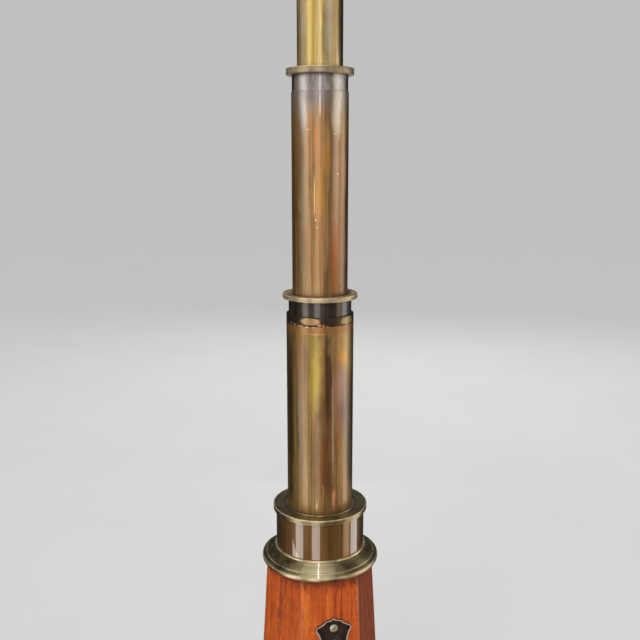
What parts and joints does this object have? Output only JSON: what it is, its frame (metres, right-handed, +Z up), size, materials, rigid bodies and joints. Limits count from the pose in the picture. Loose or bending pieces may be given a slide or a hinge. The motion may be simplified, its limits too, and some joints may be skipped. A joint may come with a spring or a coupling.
{
  "type": "spyglass",
  "caption": "Tall hand spyglass with a six-sided tapered wooden barrel, ringed brass draw tubes that telescope into it, and an eyepiece with a dust shutter.",
  "frame": {"origin": "centre of the objective mouth's flat rim, on which the spyglass stands", "axes": "+Z up along the optical axis towards the eyepiece, the name plate's face looks along -Y, +X to its right"},
  "size_m": [0.0902, 0.0902, 0.6244],
  "materials": {
    "varnished_wood": "glossy varnish",
    "antique_brass": "antique patina",
    "polished_brass": "polished",
    "tube_brass_1": "worn satin patina",
    "tube_brass_2": "worn copper-brown patina",
    "tube_brass_3": "satin",
    "screw_brass": "worn bright",
    "dark_bronze": "blackened with worn edges",
    "blackened_brass": "matt black inside",
    "lens_glass": "polished clear"
  },
  "bodies": {
    "barrel": {"wood_barrel": "varnished_wood", "barrel_flange": "antique_brass", "collar_band": "polished_brass", "collar_rim": "antique_brass", "name_plate": "dark_bronze", "plate_screws": "screw_brass", "objective_flange": "antique_brass", "objective_cell": "polished_brass", "crown_lens": "lens_glass", "flint_lens": "lens_glass", "objective_retainer": "blackened_brass"},
    "draw_1": {"draw_tube_1": "tube_brass_1", "draw_ring_1": "antique_brass", "stop_collar_1": "antique_brass"},
    "draw_2": {"draw_tube_2": "tube_brass_2", "draw_ring_2": "antique_brass", "stop_collar_2": "antique_brass"},
    "draw_3": {"draw_tube_3": "tube_brass_3", "stop_collar_3": "antique_brass", "erector_tube": "blackened_brass", "erector_lens_front": "lens_glass", "erector_lens_back": "lens_glass", "erector_stop": "blackened_brass", "eyepiece_drum": "antique_brass", "ocular_tube": "blackened_brass", "field_lens": "lens_glass", "field_stop": "blackened_brass", "eye_lens": "lens_glass", "eye_cap": "antique_brass", "shutter_screw": "screw_brass"},
    "shutter": {"eye_shutter": "tube_brass_3"}
  },
  "joints": [
    {"name": "draw_1_slide", "type": "slide", "parent": "barrel", "child": "draw_1", "axis": [0, 0, 1], "range_m": [-0.1224, 0]},
    {"name": "draw_2_slide", "type": "slide", "parent": "draw_1", "child": "draw_2", "axis": [0, 0, 1], "range_m": [-0.1168, 0]},
    {"name": "draw_3_slide", "type": "slide", "parent": "draw_2", "child": "draw_3", "axis": [0, 0, 1], "range_m": [-0.1117, 0]},
    {"name": "shutter_pivot", "type": "hinge", "parent": "draw_3", "child": "shutter", "pos_m": [0.0122, 0, 0.622], "axis": [0, 0, 1], "range_deg": [0, 55]}
  ]
}
